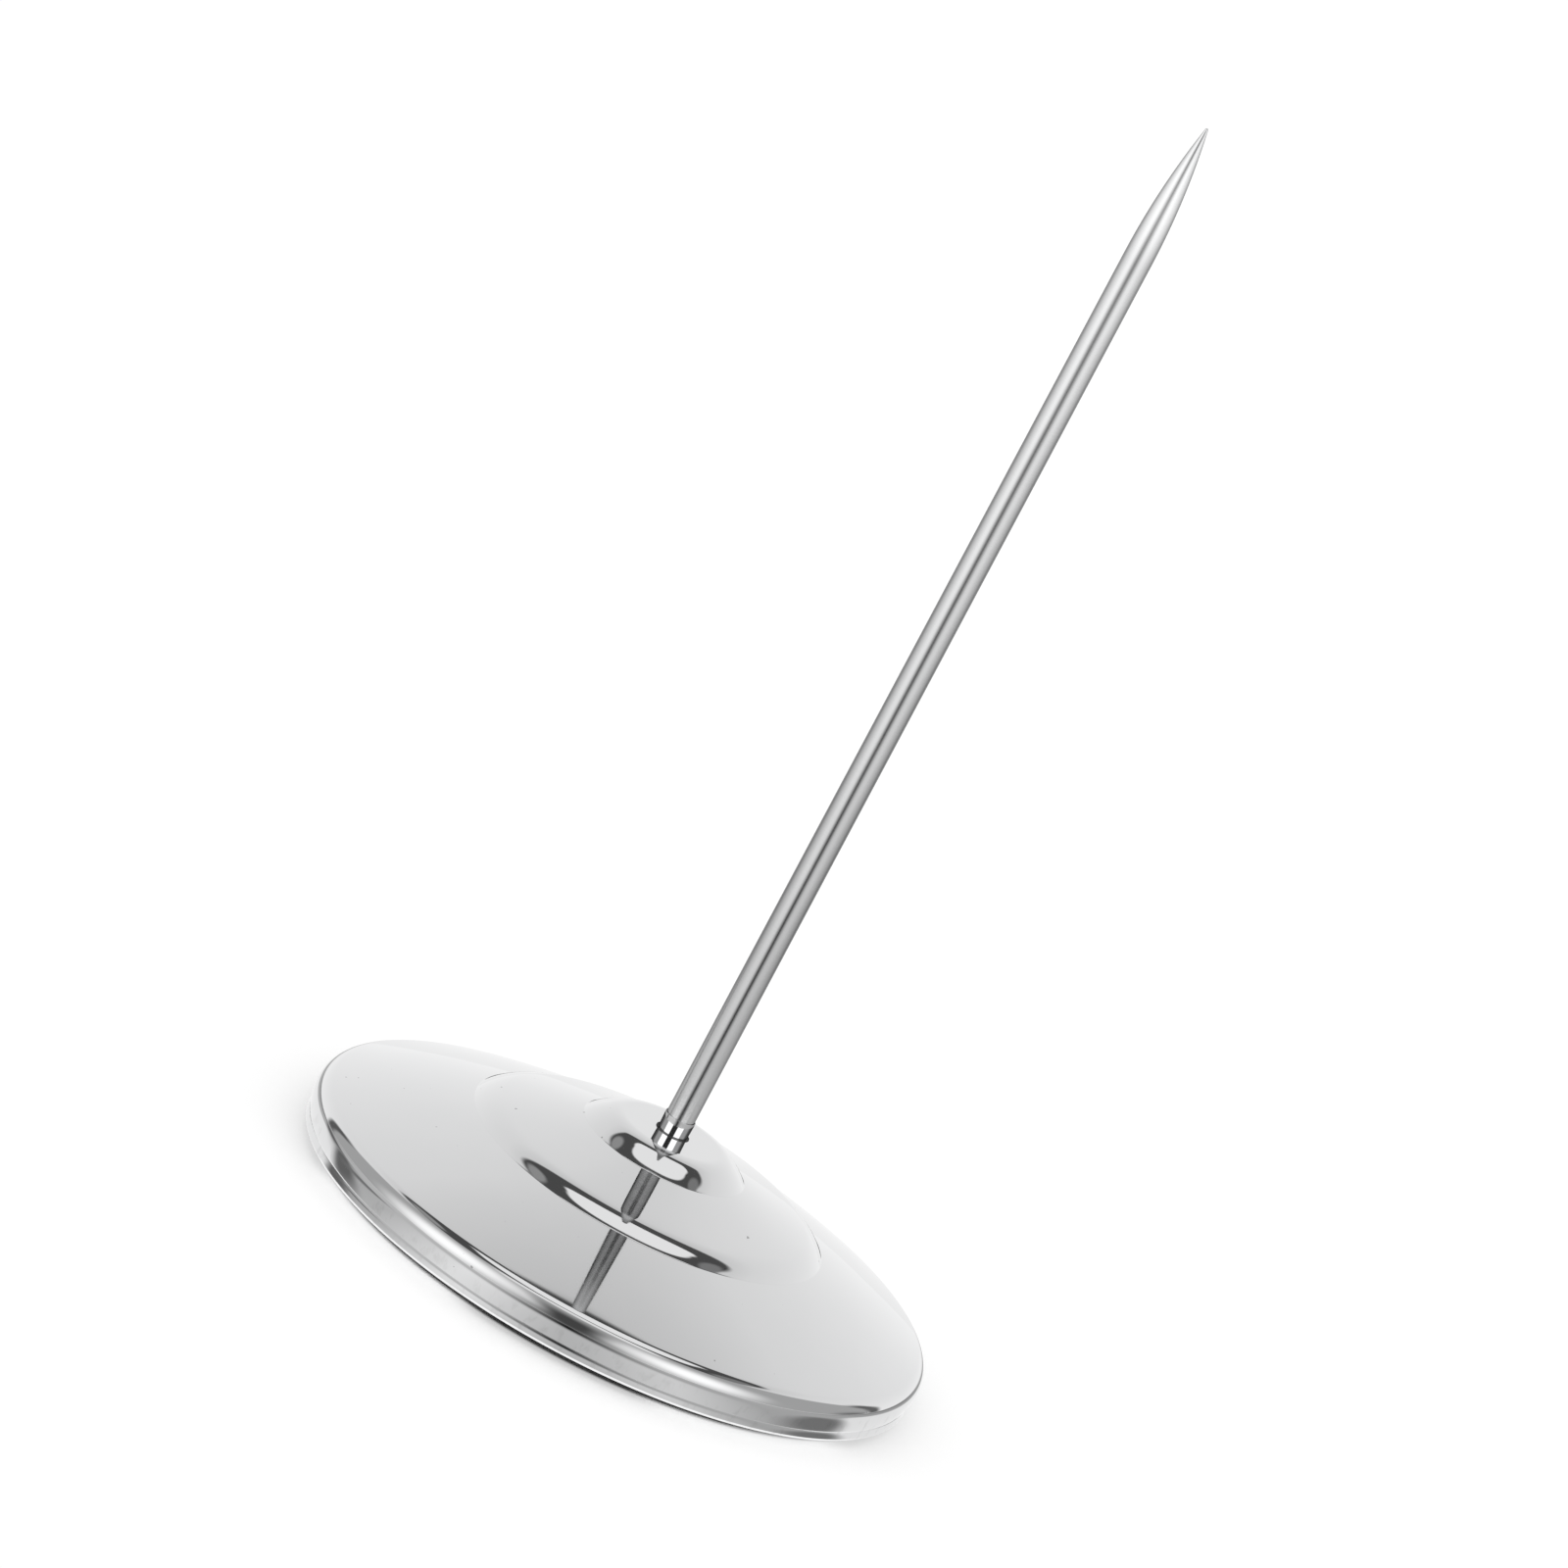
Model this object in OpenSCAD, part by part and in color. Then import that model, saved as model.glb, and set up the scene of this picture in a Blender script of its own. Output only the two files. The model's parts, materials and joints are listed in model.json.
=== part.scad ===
// Bill spike: a polished rod that stands on a weighted base of pressed sheet steel.
// Sizes are in millimetres. The origin is the middle of the pad's underside, and +Z runs up the spike.

/* [Overall] */
// Height from the table to the tip of the spike
overall_h = 159; // [130:1:220]

/* [Base shell] */
// Diameter across the rounded rim, the widest part of the base
base_d = 80; // [74:1:110]
// Thickness of the pressed sheet
sheet_t = 0.5; // [0.4:0.05:0.7]
// Height of the rim's widest line above the bottom edge of the shell
rim_h = 3.6; // [3:0.1:4.4]
// Radius of the rim's rounded upper side
rim_r = 2.6; // [2:0.1:3.4]
// Slope of the outer dome where it turns into the rim, in degrees
rim_slope = 22; // [20:1:28]
// Depth of the groove under the rim, measured in from the widest line
groove_in = 0.4; // [0.3:0.05:0.6]
// Radius of the skirt's flare below the groove
flare_r = 2.2; // [1.6:0.1:2.8]
// Slope at which the flare leaves the groove, in degrees
flare_slope = 70; // [64:1:76]
// Inside radius of the bend between the skirt and its lip
hem_in_r = 0.1; // [0.05:0.05:0.3]
// Width of the flat lip that is turned in under the ballast
lip_w = 2.2; // [1.8:0.1:4]

/* [Steps of the base] */
// Height of the middle step's crease above the rim's widest line
outer_rise = 7.65; // [7:0.05:9]
// Diameter of the middle step at its crease
mid_d = 46; // [42:0.2:50]
// Radius of the middle step's rounded shoulder
mid_shoulder_r = 7.5; // [5:0.1:10]
// Slope at which the middle dome turns into its shoulder, in degrees
mid_slope = 17; // [15:1:20]
// Share of the middle dome's width at which it turns down towards its shoulder
mid_turn = 0.8; // [0.5:0.05:0.85]
// Radius of the hollow below the middle step's crease
mid_foot_r = 2; // [0.6:0.1:3]
// Height of the boss's crease above the middle step's crease
mid_rise = 4.3; // [3.8:0.05:5.2]
// Diameter of the central boss at its crease
boss_d = 21; // [18.8:0.2:23.4]
// Height of the boss's flat top above its crease
boss_rise = 2.2; // [1.8:0.05:2.7]
// Radius of the rounded edge of the boss's flat top
boss_edge_r = 4; // [2:0.1:5]
// Slope at which the boss's edge turns into its shoulder, in degrees
boss_slope = 30; // [28:1:34]
// Radius of the hollow below the boss's crease
boss_foot_r = 1; // [0.6:0.1:2]
// Slope of both shoulders where they meet the crease below, in degrees
crease_slope = 43; // [38:1:48]

/* [Spike] */
// Diameter of the straight rod
spike_d = 3.6; // [3.4:0.1:5]
// Length of the tapered point
point_l = 18; // [12:0.5:30]
// Radius of the blunt end of the point
tip_r = 0.2; // [0.1:0.05:0.4]
// Major diameter of the thread at the foot of the rod
thread_d = 3; // [2.5:0.1:3.2]
// Pitch of the thread
thread_pitch = 0.5; // [0.4:0.05:0.6]
// Depth of the thread
thread_depth = 0.3; // [0.2:0.05:0.35]
// Length of the threaded stretch
thread_l = 6; // [5:0.5:9]

/* [Collar] */
// Height of the collar round the foot of the rod
collar_h = 2.2; // [1.6:0.1:4]
// Thickness of the collar's wall
collar_wall = 0.15; // [0.1:0.05:0.4]
// Thickness of the collar's floor, which the rod's shoulder clamps
collar_floor = 0.25; // [0.2:0.05:0.4]
// Width of the lip that the collar's foot flares out to
collar_lip_w = 0.15; // [0.1:0.05:0.4]
// Thickness of that lip
collar_lip_t = 0.12; // [0.1:0.02:0.3]

/* [Inside the base] */
// Distance that the washer behind the boss stays inside the boss's flat
washer_inset = 0.15; // [0.05:0.05:1]
// Thickness of that washer
washer_t = 0.8; // [0.5:0.1:1.2]
// Outside diameter of the spacer sleeve
sleeve_d = 8; // [7:0.5:9.5]
// Thickness of the sleeve's wall
sleeve_wall = 2; // [1:0.1:2.2]
// Thickness of the ballast disc
ballast_t = 4; // [3.6:0.1:4.6]
// Chamfer along the ballast's edges
ballast_chamfer = 0.8; // [0.3:0.1:1.2]
// Size of the nut across its flats
nut_af = 5.5; // [5:0.1:6.5]
// Height of the nut
nut_h = 2.4; // [1.8:0.1:2.7]
// Chamfer at the nut's corners
nut_chamfer = 0.3; // [0.2:0.05:0.5]

/* [Foot] */
// Distance that the foot pad stays inside the base's widest line
pad_inset = 3; // [2.5:0.5:10]
// Thickness of the foot pad
pad_t = 1; // [0.8:0.1:2.5]
// Thickness of the adhesive film above the pad
film_t = 0.1; // [0.05:0.05:0.2]
// Distance that the film stays inside the pad's edge
film_inset = 0.5; // [0.2:0.1:2]

/* [Clearances] */
// Gap between the thread and the nut, and between the rod and its collar
running_gap = 0.05; // [0.02:0.01:0.08]
// Gap round the threaded shank in the holes that it only passes through
passing_gap = 0.2; // [0.15:0.05:0.4]
// Gap between the ballast and the skirt of the shell
ballast_gap = 1; // [0.5:0.1:1.4]
// Gap between the shell's lip and the step in the ballast
lip_gap = 0.2; // [0.1:0.05:0.4]
// Gap round the nut in its pocket
pocket_gap = 0.1; // [0.05:0.05:0.2]

/* [Hidden] */

$fn = 128;
curve_steps = 12;
tip_steps = 4;
outer_turn = 0.5;
hex = 6;
cut = 1;
least_step = 0.001;

// Heights from the table up
shell_z = pad_t + film_t;
rim_z = shell_z + rim_h;
mid_z = rim_z + outer_rise;
boss_z = mid_z + mid_rise;
boss_top_z = boss_z + boss_rise;
shoulder_z = boss_top_z + collar_floor;
washer_z = boss_top_z - sheet_t - washer_t;
ballast_top_z = shell_z + ballast_t;
pocket_roof_z = shell_z + nut_h + pocket_gap;
nut_z = pocket_roof_z - nut_h;

// Radii of the base
rim_out_r = base_d / 2;
groove_r = rim_out_r - groove_in;
hem_r = sheet_t + hem_in_r;
hem_z = shell_z + hem_r;
groove_z = hem_z + flare_r * cos(flare_slope);
hem_centre_r = groove_r + flare_r * (1 - sin(flare_slope)) - hem_r;
lip_in_r = hem_centre_r - lip_w;
pad_r = rim_out_r - pad_inset;
ballast_r = groove_r - sheet_t - ballast_gap;
ballast_step_r = lip_in_r - lip_gap;

// Radii round the spike's foot
spike_r = spike_d / 2;
nut_bore_r = thread_d / 2;
shank_r = nut_bore_r - running_gap;
passing_r = nut_bore_r + passing_gap;
collar_in_r = spike_r + running_gap;
collar_r = collar_in_r + collar_wall;

// Outward normal of a surface that falls away from the axis at slope s
function outward(s) = [sin(s), cos(s)];

// Points of a round stretch that starts at a and turns from slope s0 to slope s1, each with its slope.
// A negative radius makes it hollow.
function arc_run(a, s0, s1, r) =
    let (centre = a - r * outward(s0))
    [for (i = [0:curve_steps])
        let (s = s0 + (s1 - s0) * i / curve_steps)
        [centre + r * outward(s), s]];

// Slope of the straight line from a down to b
function fall(a, b) = atan2(a[1] - b[1], b[0] - a[0]);

// Slope at which a shallow dome starts at a, if it turns down at a share of the way to b and ends at slope s1
function dome_start(a, b, s1, turn) =
    fall(a, b) - atan(tan(s1 - fall(a, b)) * (1 - turn) / turn);

// Points of that dome, each with its slope
function dome_run(a, b, s1, turn) =
    let (bulge = norm(b - a) * (1 - turn) * tan(s1 - fall(a, b)))
    let (knee = a + turn * (b - a) + bulge * outward(fall(a, b)))
    [for (i = [0:curve_steps])
        let (t = i / curve_steps)
        let (way = (1 - t) * (knee - a) + t * (b - knee))
        [(1 - t) ^ 2 * a + 2 * t * (1 - t) * knee + t ^ 2 * b, atan2(-way[1], way[0])]];

// Point where the hollow of radius r below crease a has eased to slope s
function foot_end(a, r, s) = a + r * (outward(crease_slope) - outward(s));

// Slope to which that hollow eases, so that it runs into the dome to b without a corner
function foot_slope(a, r, b, s1, turn) =
    dome_start(foot_end(a, r, dome_start(a, b, s1, turn)), b, s1, turn);

// Points of the hollow below crease a and of the dome after it, each with its slope
function foot_and_dome(a, r, b, s1, turn) =
    let (s = foot_slope(a, r, b, s1, turn))
    concat(arc_run(a, crease_slope, s, -r), dome_run(foot_end(a, r, s), b, s1, turn));

// A list of points without the ones that repeat their neighbour
function distinct(points) =
    [for (i = [0:len(points) - 1])
        if (i == 0 || norm(points[i] - points[max(i - 1, 0)]) > least_step) points[i]];

function reversed(list) = [for (i = [len(list) - 1:-1:0]) list[i]];

// The boss: a flat top, a rounded edge and a shoulder down to its crease
boss_crease = [boss_d / 2, boss_z];
boss_edge_drop = boss_edge_r * (1 - cos(boss_slope));
boss_shoulder_drop = boss_rise - boss_edge_drop;
boss_shoulder_w = boss_shoulder_drop / tan((boss_slope + crease_slope) / 2);
boss_shoulder_chord = norm([boss_shoulder_w, boss_shoulder_drop]);
boss_shoulder_r = boss_shoulder_chord / (2 * sin((crease_slope - boss_slope) / 2));
boss_shoulder_start = boss_crease + [-boss_shoulder_w, boss_shoulder_drop];
boss_flat_r = boss_shoulder_start[0] - boss_edge_r * sin(boss_slope);
washer_r = boss_flat_r - washer_inset;

// The middle step's shoulder, worked back from its crease
mid_crease = [mid_d / 2, mid_z];
mid_shoulder_start = mid_crease + mid_shoulder_r * (outward(mid_slope) - outward(crease_slope));

// The rim, from the end of the outer dome round to the groove under it
rim_start = [rim_out_r, rim_z] - rim_r * (outward(90) - outward(rim_slope));
under_rim_drop = rim_z - groove_z;
under_rim_r = (groove_in ^ 2 + under_rim_drop ^ 2) / (2 * groove_in);
under_rim_slope = 90 + 2 * atan(groove_in / under_rim_drop);

shell_runs = concat(
    [[[passing_r, boss_top_z], 0]],
    arc_run([boss_flat_r, boss_top_z], 0, boss_slope, boss_edge_r),
    arc_run(boss_shoulder_start, boss_slope, crease_slope, boss_shoulder_r),
    foot_and_dome(boss_crease, boss_foot_r, mid_shoulder_start, mid_slope, mid_turn),
    arc_run(mid_shoulder_start, mid_slope, crease_slope, mid_shoulder_r),
    foot_and_dome(mid_crease, mid_foot_r, rim_start, rim_slope, outer_turn),
    arc_run(rim_start, rim_slope, 90, rim_r),
    arc_run([rim_out_r, rim_z], 90, under_rim_slope, under_rim_r),
    arc_run([groove_r, groove_z], flare_slope, 90, flare_r),
    arc_run([hem_centre_r + hem_r, hem_z], 90, 180, hem_r),
    [[[lip_in_r, shell_z], 180]]);
shell_outside = distinct([for (p = shell_runs) p[0]]);
shell_inside = distinct([for (p = shell_runs) p[0] - sheet_t * outward(p[1])]);

// The rod's point: an arc that leaves the straight rod without a corner and ends at the blunt tip
point_z = overall_h - tip_r - point_l;
point_in = spike_r - tip_r;
point_arc_r = (point_in ^ 2 + point_l ^ 2) / (2 * point_in);
point_outline =
    [for (i = [0:curve_steps])
        let (up = point_l * i / curve_steps)
        [spike_r - point_arc_r + sqrt(point_arc_r ^ 2 - up ^ 2), point_z + up]];
tip_outline =
    [for (i = [1:tip_steps])
        let (a = 90 * i / tip_steps)
        [i == tip_steps ? 0 : tip_r * cos(a), overall_h - tip_r + tip_r * sin(a)]];

// The thread is drawn as rings of the same pitch, and it ends level with the nut's underside
thread_count = floor(thread_l / thread_pitch);
thread_outline =
    [for (i = [0:thread_count - 1], half = [0, 1])
        [shank_r - (half == 0 ? thread_depth : 0), nut_z + (i + half / 2) * thread_pitch]];
thread_top_z = nut_z + thread_count * thread_pitch;

spike_outline = concat(
    [[0, nut_z]],
    thread_outline,
    [[shank_r - thread_depth, thread_top_z],
     [shank_r, thread_top_z + thread_pitch / 2],
     [shank_r, shoulder_z],
     [spike_r, shoulder_z]],
    point_outline,
    tip_outline);

collar_outline = [
    [shank_r + running_gap, boss_top_z],
    [collar_r + collar_lip_w, boss_top_z],
    [collar_r + collar_lip_w, boss_top_z + collar_lip_t],
    [collar_r, boss_top_z + collar_lip_t + collar_lip_w],
    [collar_r, boss_top_z + collar_h],
    [collar_in_r, boss_top_z + collar_h],
    [collar_in_r, shoulder_z],
    [shank_r + running_gap, shoulder_z]];

ballast_outline = [
    [passing_r, shell_z],
    [ballast_step_r, shell_z],
    [ballast_step_r, shell_z + sheet_t],
    [ballast_r, shell_z + sheet_t],
    [ballast_r, ballast_top_z - ballast_chamfer],
    [ballast_r - ballast_chamfer, ballast_top_z],
    [passing_r, ballast_top_z]];

nut_corner_r = nut_af / 2 / cos(180 / hex);
nut_outline = [
    [nut_bore_r, nut_z],
    [nut_corner_r - nut_chamfer, nut_z],
    [nut_corner_r, nut_z + nut_chamfer / 2],
    [nut_corner_r, pocket_roof_z - nut_chamfer / 2],
    [nut_corner_r - nut_chamfer, pocket_roof_z],
    [nut_bore_r, pocket_roof_z]];

// A flat ring or, with no bore, a flat disc that stands on height z
module ring(z, h, outer_r, bore_r = 0) {
    translate([0, 0, z])
        difference() {
            cylinder(h = h, r = outer_r);
            if (bore_r > 0)
                translate([0, 0, -cut])
                    cylinder(h = h + 2 * cut, r = bore_r);
        }
}

module foot_pad() {
    color("#1c1c1e")
        ring(0, pad_t, pad_r);
}

module pad_adhesive() {
    color("#d8d2b8")
        ring(pad_t, film_t, pad_r - film_inset);
}

module base_shell() {
    color("#d6d7d9")
        rotate_extrude()
            polygon(concat(shell_outside, reversed(shell_inside)));
}

module ballast_disc() {
    color("#6b6d70")
        difference() {
            rotate_extrude()
                polygon(ballast_outline);
            translate([0, 0, shell_z - cut])
                cylinder(h = cut + pocket_roof_z - shell_z, r = nut_corner_r + pocket_gap, $fn = hex);
        }
}

module captive_nut() {
    color("#b9b39c")
        intersection() {
            rotate_extrude()
                polygon(nut_outline);
            translate([0, 0, nut_z - cut])
                cylinder(h = nut_h + 2 * cut, r = nut_corner_r, $fn = hex);
        }
}

module spacer_sleeve() {
    color("#9a9ca0")
        ring(ballast_top_z, washer_z - ballast_top_z, sleeve_d / 2, sleeve_d / 2 - sleeve_wall);
}

module backing_washer() {
    color("#b9bbbe")
        ring(washer_z, washer_t, washer_r, passing_r);
}

module spike_collar() {
    color("#e2e3e5")
        rotate_extrude()
            polygon(collar_outline);
}

module spike() {
    color("#c9cacc")
        rotate_extrude()
            polygon(spike_outline);
}

foot_pad();
pad_adhesive();
base_shell();
ballast_disc();
captive_nut();
spacer_sleeve();
backing_washer();
spike_collar();
spike();
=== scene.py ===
"""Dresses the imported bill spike: turned steel on the fixed frame, a studio for it to mirror, and a camera.

Shapes are worked out in millimetres, as in the part's source, and become metres where the meshes are made.
"""

import json
import math
from collections import namedtuple

import bmesh
import bpy
from mathutils import Matrix, Vector


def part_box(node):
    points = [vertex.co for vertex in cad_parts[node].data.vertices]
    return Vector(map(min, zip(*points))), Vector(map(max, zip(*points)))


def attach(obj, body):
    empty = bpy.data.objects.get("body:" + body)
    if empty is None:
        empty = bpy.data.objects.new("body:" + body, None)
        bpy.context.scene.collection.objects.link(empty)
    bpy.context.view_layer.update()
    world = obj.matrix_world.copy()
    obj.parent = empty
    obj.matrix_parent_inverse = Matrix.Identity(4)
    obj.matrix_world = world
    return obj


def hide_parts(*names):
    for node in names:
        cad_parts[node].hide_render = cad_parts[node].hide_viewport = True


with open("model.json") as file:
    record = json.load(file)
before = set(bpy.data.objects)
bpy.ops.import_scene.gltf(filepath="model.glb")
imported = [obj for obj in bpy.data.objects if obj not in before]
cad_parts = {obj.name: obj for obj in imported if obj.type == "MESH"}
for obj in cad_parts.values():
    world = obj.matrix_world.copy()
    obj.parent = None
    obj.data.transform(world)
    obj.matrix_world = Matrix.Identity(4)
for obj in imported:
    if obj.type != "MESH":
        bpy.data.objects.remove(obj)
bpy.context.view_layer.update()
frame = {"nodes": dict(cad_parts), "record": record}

MM = 0.001

# Smoothness of the turned pieces: steps round the axis and along a curve, and limits for steps and corners
TURNS = 192
ROD_TURNS = 96
FINE = 24
COARSE = 6
LEAST_STEP = 0.001
CORNER_SHARE = 0.48
SHARP_CORNER = math.radians(28)

# Sizes that the frame gives
base_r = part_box("base_shell")[1].x / MM
shell_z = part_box("base_shell")[0].z / MM
boss_top_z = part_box("base_shell")[1].z / MM
collar_top_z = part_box("spike_collar")[1].z / MM
lip_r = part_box("spike_collar")[1].x / MM
spike_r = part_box("spike")[1].x / MM
spike_low_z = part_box("spike")[0].z / MM
spike_top_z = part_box("spike")[1].z / MM
pad_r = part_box("foot_pad")[1].x / MM
pad_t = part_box("foot_pad")[1].z / MM

# Sheet of the base, in millimetres and degrees. A turn is the share of a dome's width at which it turns down.
SHEET_T = 0.5
RIM_H = 3.4
RIM_R = 2.45
RIM_SLOPE = 22
GROOVE_IN = 0.4
FLARE_R = 4.3
FLARE_SLOPE = 80
HEM_R = 0.6
LIP_W = 2.2
OUTER_RISE = 7.85
OUTER_TURN = 0.5
MID_D = 45.6
MID_SHOULDER_R = 7.5
MID_SLOPE = 17
MID_TURN = 0.8
MID_FOOT_R = 0.4
MID_RISE = 4.3
BOSS_D = 21
BOSS_EDGE_R = 4
BOSS_SLOPE = 30
BOSS_FOOT_R = 0.3
CREASE_SLOPE = 43
BOSS_HOLE_R = 1.7

# Rod, thread, collar and pad, in millimetres
POINT_L = 18
TIP_R = 0.2
SHANK_R = 1.45
THREAD_PITCH = 0.5
THREAD_DEPTH = 0.3
THREAD_L = 6
THREAD_ROWS = 8
COLLAR_FLOOR = 0.25
COLLAR_FOOT_OVER = 0.08
COLLAR_HEAD_OVER = 0.14
COLLAR_LIP_T = 0.08
COLLAR_GAP = 0.05
COLLAR_ROUND = 0.03
PAD_ROUND = 0.4

# Heights and radii worked out from these
rim_z = shell_z + RIM_H
mid_z = rim_z + OUTER_RISE
boss_z = mid_z + MID_RISE
boss_rise = boss_top_z - boss_z
shoulder_z = boss_top_z + COLLAR_FLOOR
lip_top_z = boss_top_z + COLLAR_LIP_T
groove_r = base_r - GROOVE_IN
hem_z = shell_z + HEM_R
groove_z = hem_z + FLARE_R * math.cos(math.radians(FLARE_SLOPE))
hem_centre_r = groove_r + FLARE_R * (1 - math.sin(math.radians(FLARE_SLOPE))) - HEM_R
collar_foot_r = spike_r + COLLAR_FOOT_OVER
collar_head_r = spike_r + COLLAR_HEAD_OVER
collar_in_r = spike_r + COLLAR_GAP


# Outlines of the turned pieces

def outward(slope):
    """Outward normal, as (r, z), of a surface that falls away from the axis at a slope in degrees."""
    return Vector((math.sin(math.radians(slope)), math.cos(math.radians(slope))))


def shares(steps):
    """Shares from 0 to 1, in equal steps."""
    return [i / steps for i in range(steps + 1)]


def bent(a, knee, b, t):
    """Point at share t of a quadratic curve from a to b."""
    return (1 - t) ** 2 * a + 2 * t * (1 - t) * knee + t ** 2 * b


def arc_run(start, slope, last_slope, radius, steps):
    """A round stretch from one slope to another, as (point, slope) pairs. A negative radius is hollow."""
    centre = start - radius * outward(slope)
    turned = [slope + (last_slope - slope) * t for t in shares(steps)]
    return [(centre + radius * outward(s), s) for s in turned]


def fall(a, b):
    """Slope of the straight way from a to b, in degrees."""
    return math.degrees(math.atan2(a.y - b.y, b.x - a.x))


def dome_start(a, b, last_slope, turn):
    """Slope at which a dome from a to b begins."""
    lift = math.tan(math.radians(last_slope - fall(a, b)))
    return fall(a, b) - math.degrees(math.atan(lift * (1 - turn) / turn))


def dome_run(a, b, last_slope, turn, steps):
    """A shallow dome from a to b that turns down at a share of the way and ends at a slope."""
    bulge = (b - a).length * (1 - turn) * math.tan(math.radians(last_slope - fall(a, b)))
    knee = a + turn * (b - a) + bulge * outward(fall(a, b))
    run = []
    for t in shares(steps):
        way = (1 - t) * (knee - a) + t * (b - knee)
        run.append((bent(a, knee, b, t), math.degrees(math.atan2(-way.y, way.x))))
    return run


def foot_end(crease, radius, slope):
    """Where the hollow below a crease reaches a slope."""
    return crease + radius * (outward(CREASE_SLOPE) - outward(slope))


def foot_and_dome(crease, radius, b, last_slope, turn, steps):
    """The hollow below a crease, and the dome that it runs into without a corner."""
    first = dome_start(crease, b, last_slope, turn)
    slope = dome_start(foot_end(crease, radius, first), b, last_slope, turn)
    hollow = arc_run(crease, CREASE_SLOPE, slope, -radius, steps)
    return hollow + dome_run(foot_end(crease, radius, slope), b, last_slope, turn, steps)


def shell_runs(steps):
    """The outside of the base from its hole to the end of its lip, as (point, slope) pairs."""
    boss_crease = Vector((BOSS_D / 2, boss_z))
    edge_drop = BOSS_EDGE_R * (1 - math.cos(math.radians(BOSS_SLOPE)))
    drop = boss_rise - edge_drop
    width = drop / math.tan(math.radians((BOSS_SLOPE + CREASE_SLOPE) / 2))
    half_turn = math.radians((CREASE_SLOPE - BOSS_SLOPE) / 2)
    boss_shoulder_r = math.hypot(width, drop) / (2 * math.sin(half_turn))
    boss_shoulder = boss_crease + Vector((-width, drop))
    boss_flat_r = boss_shoulder.x - BOSS_EDGE_R * math.sin(math.radians(BOSS_SLOPE))

    mid_crease = Vector((MID_D / 2, mid_z))
    mid_shoulder = mid_crease + MID_SHOULDER_R * (outward(MID_SLOPE) - outward(CREASE_SLOPE))

    rim = Vector((base_r, rim_z))
    rim_start = rim - RIM_R * (outward(90) - outward(RIM_SLOPE))
    under_drop = rim_z - groove_z
    under_r = (GROOVE_IN ** 2 + under_drop ** 2) / (2 * GROOVE_IN)
    under_slope = 90 + 2 * math.degrees(math.atan(GROOVE_IN / under_drop))

    return (
        [(Vector((BOSS_HOLE_R, boss_top_z)), 0)]
        + arc_run(Vector((boss_flat_r, boss_top_z)), 0, BOSS_SLOPE, BOSS_EDGE_R, steps)
        + arc_run(boss_shoulder, BOSS_SLOPE, CREASE_SLOPE, boss_shoulder_r, steps)
        + foot_and_dome(boss_crease, BOSS_FOOT_R, mid_shoulder, MID_SLOPE, MID_TURN, steps)
        + arc_run(mid_shoulder, MID_SLOPE, CREASE_SLOPE, MID_SHOULDER_R, steps)
        + foot_and_dome(mid_crease, MID_FOOT_R, rim_start, RIM_SLOPE, OUTER_TURN, steps)
        + arc_run(rim_start, RIM_SLOPE, 90, RIM_R, steps)
        + arc_run(rim, 90, under_slope, under_r, steps)
        + arc_run(Vector((groove_r, groove_z)), FLARE_SLOPE, 90, FLARE_R, steps)
        + arc_run(Vector((hem_centre_r + HEM_R, hem_z)), 90, 180, HEM_R, steps)
        + [(Vector((hem_centre_r - LIP_W, shell_z)), 180)]
    )


def distinct(points):
    """The points without those that repeat the one before."""
    kept = [points[0]]
    for p in points[1:]:
        if (p - kept[-1]).length > LEAST_STEP:
            kept.append(p)
    return kept


def shell_outline():
    """The closed outline of the sheet: along its outside, and back along its inside."""
    outside = distinct([point for point, slope in shell_runs(FINE)])
    inside = distinct([point - SHEET_T * outward(slope) for point, slope in shell_runs(COARSE)])
    return outside + inside[::-1]


def rounded(corners, radius, steps):
    """A closed outline with each corner cut to a small round of about that radius."""
    outline = []
    for i, painted_lip_shade in enumerate(corners):
        before, after = corners[i - 1] - painted_lip_shade, corners[(i + 1) % len(corners)] - painted_lip_shade
        reach = min(radius, before.length * CORNER_SHARE, after.length * CORNER_SHARE)
        a, b = painted_lip_shade + before.normalized() * reach, painted_lip_shade + after.normalized() * reach
        outline += [bent(a, painted_lip_shade, b, t) for t in shares(steps)]
    return distinct(outline)


def collar_outline():
    """The collar's cup: a floor under the rod's shoulder, a thin wall round it, and a lip on the boss."""
    bore_r = SHANK_R + COLLAR_GAP
    corners = [
        (bore_r, boss_top_z), (bore_r, shoulder_z), (collar_in_r, shoulder_z), (collar_in_r, collar_top_z),
        (collar_head_r, collar_top_z), (collar_foot_r, lip_top_z), (lip_r, lip_top_z), (lip_r, boss_top_z),
    ]
    return rounded([Vector(c) for c in corners], COLLAR_ROUND, COARSE)


def thread_radius(z, thread_top):
    """Radius of the threaded shank at a height, as a function of the turn round the axis."""
    fade = min(1, (thread_top + THREAD_PITCH / 2 - z) / THREAD_PITCH)

    def radius(angle):
        phase = ((z - spike_low_z) / THREAD_PITCH - angle / (2 * math.pi)) % 1
        return SHANK_R - THREAD_DEPTH * fade * abs(2 * phase - 1)
    return radius


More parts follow.
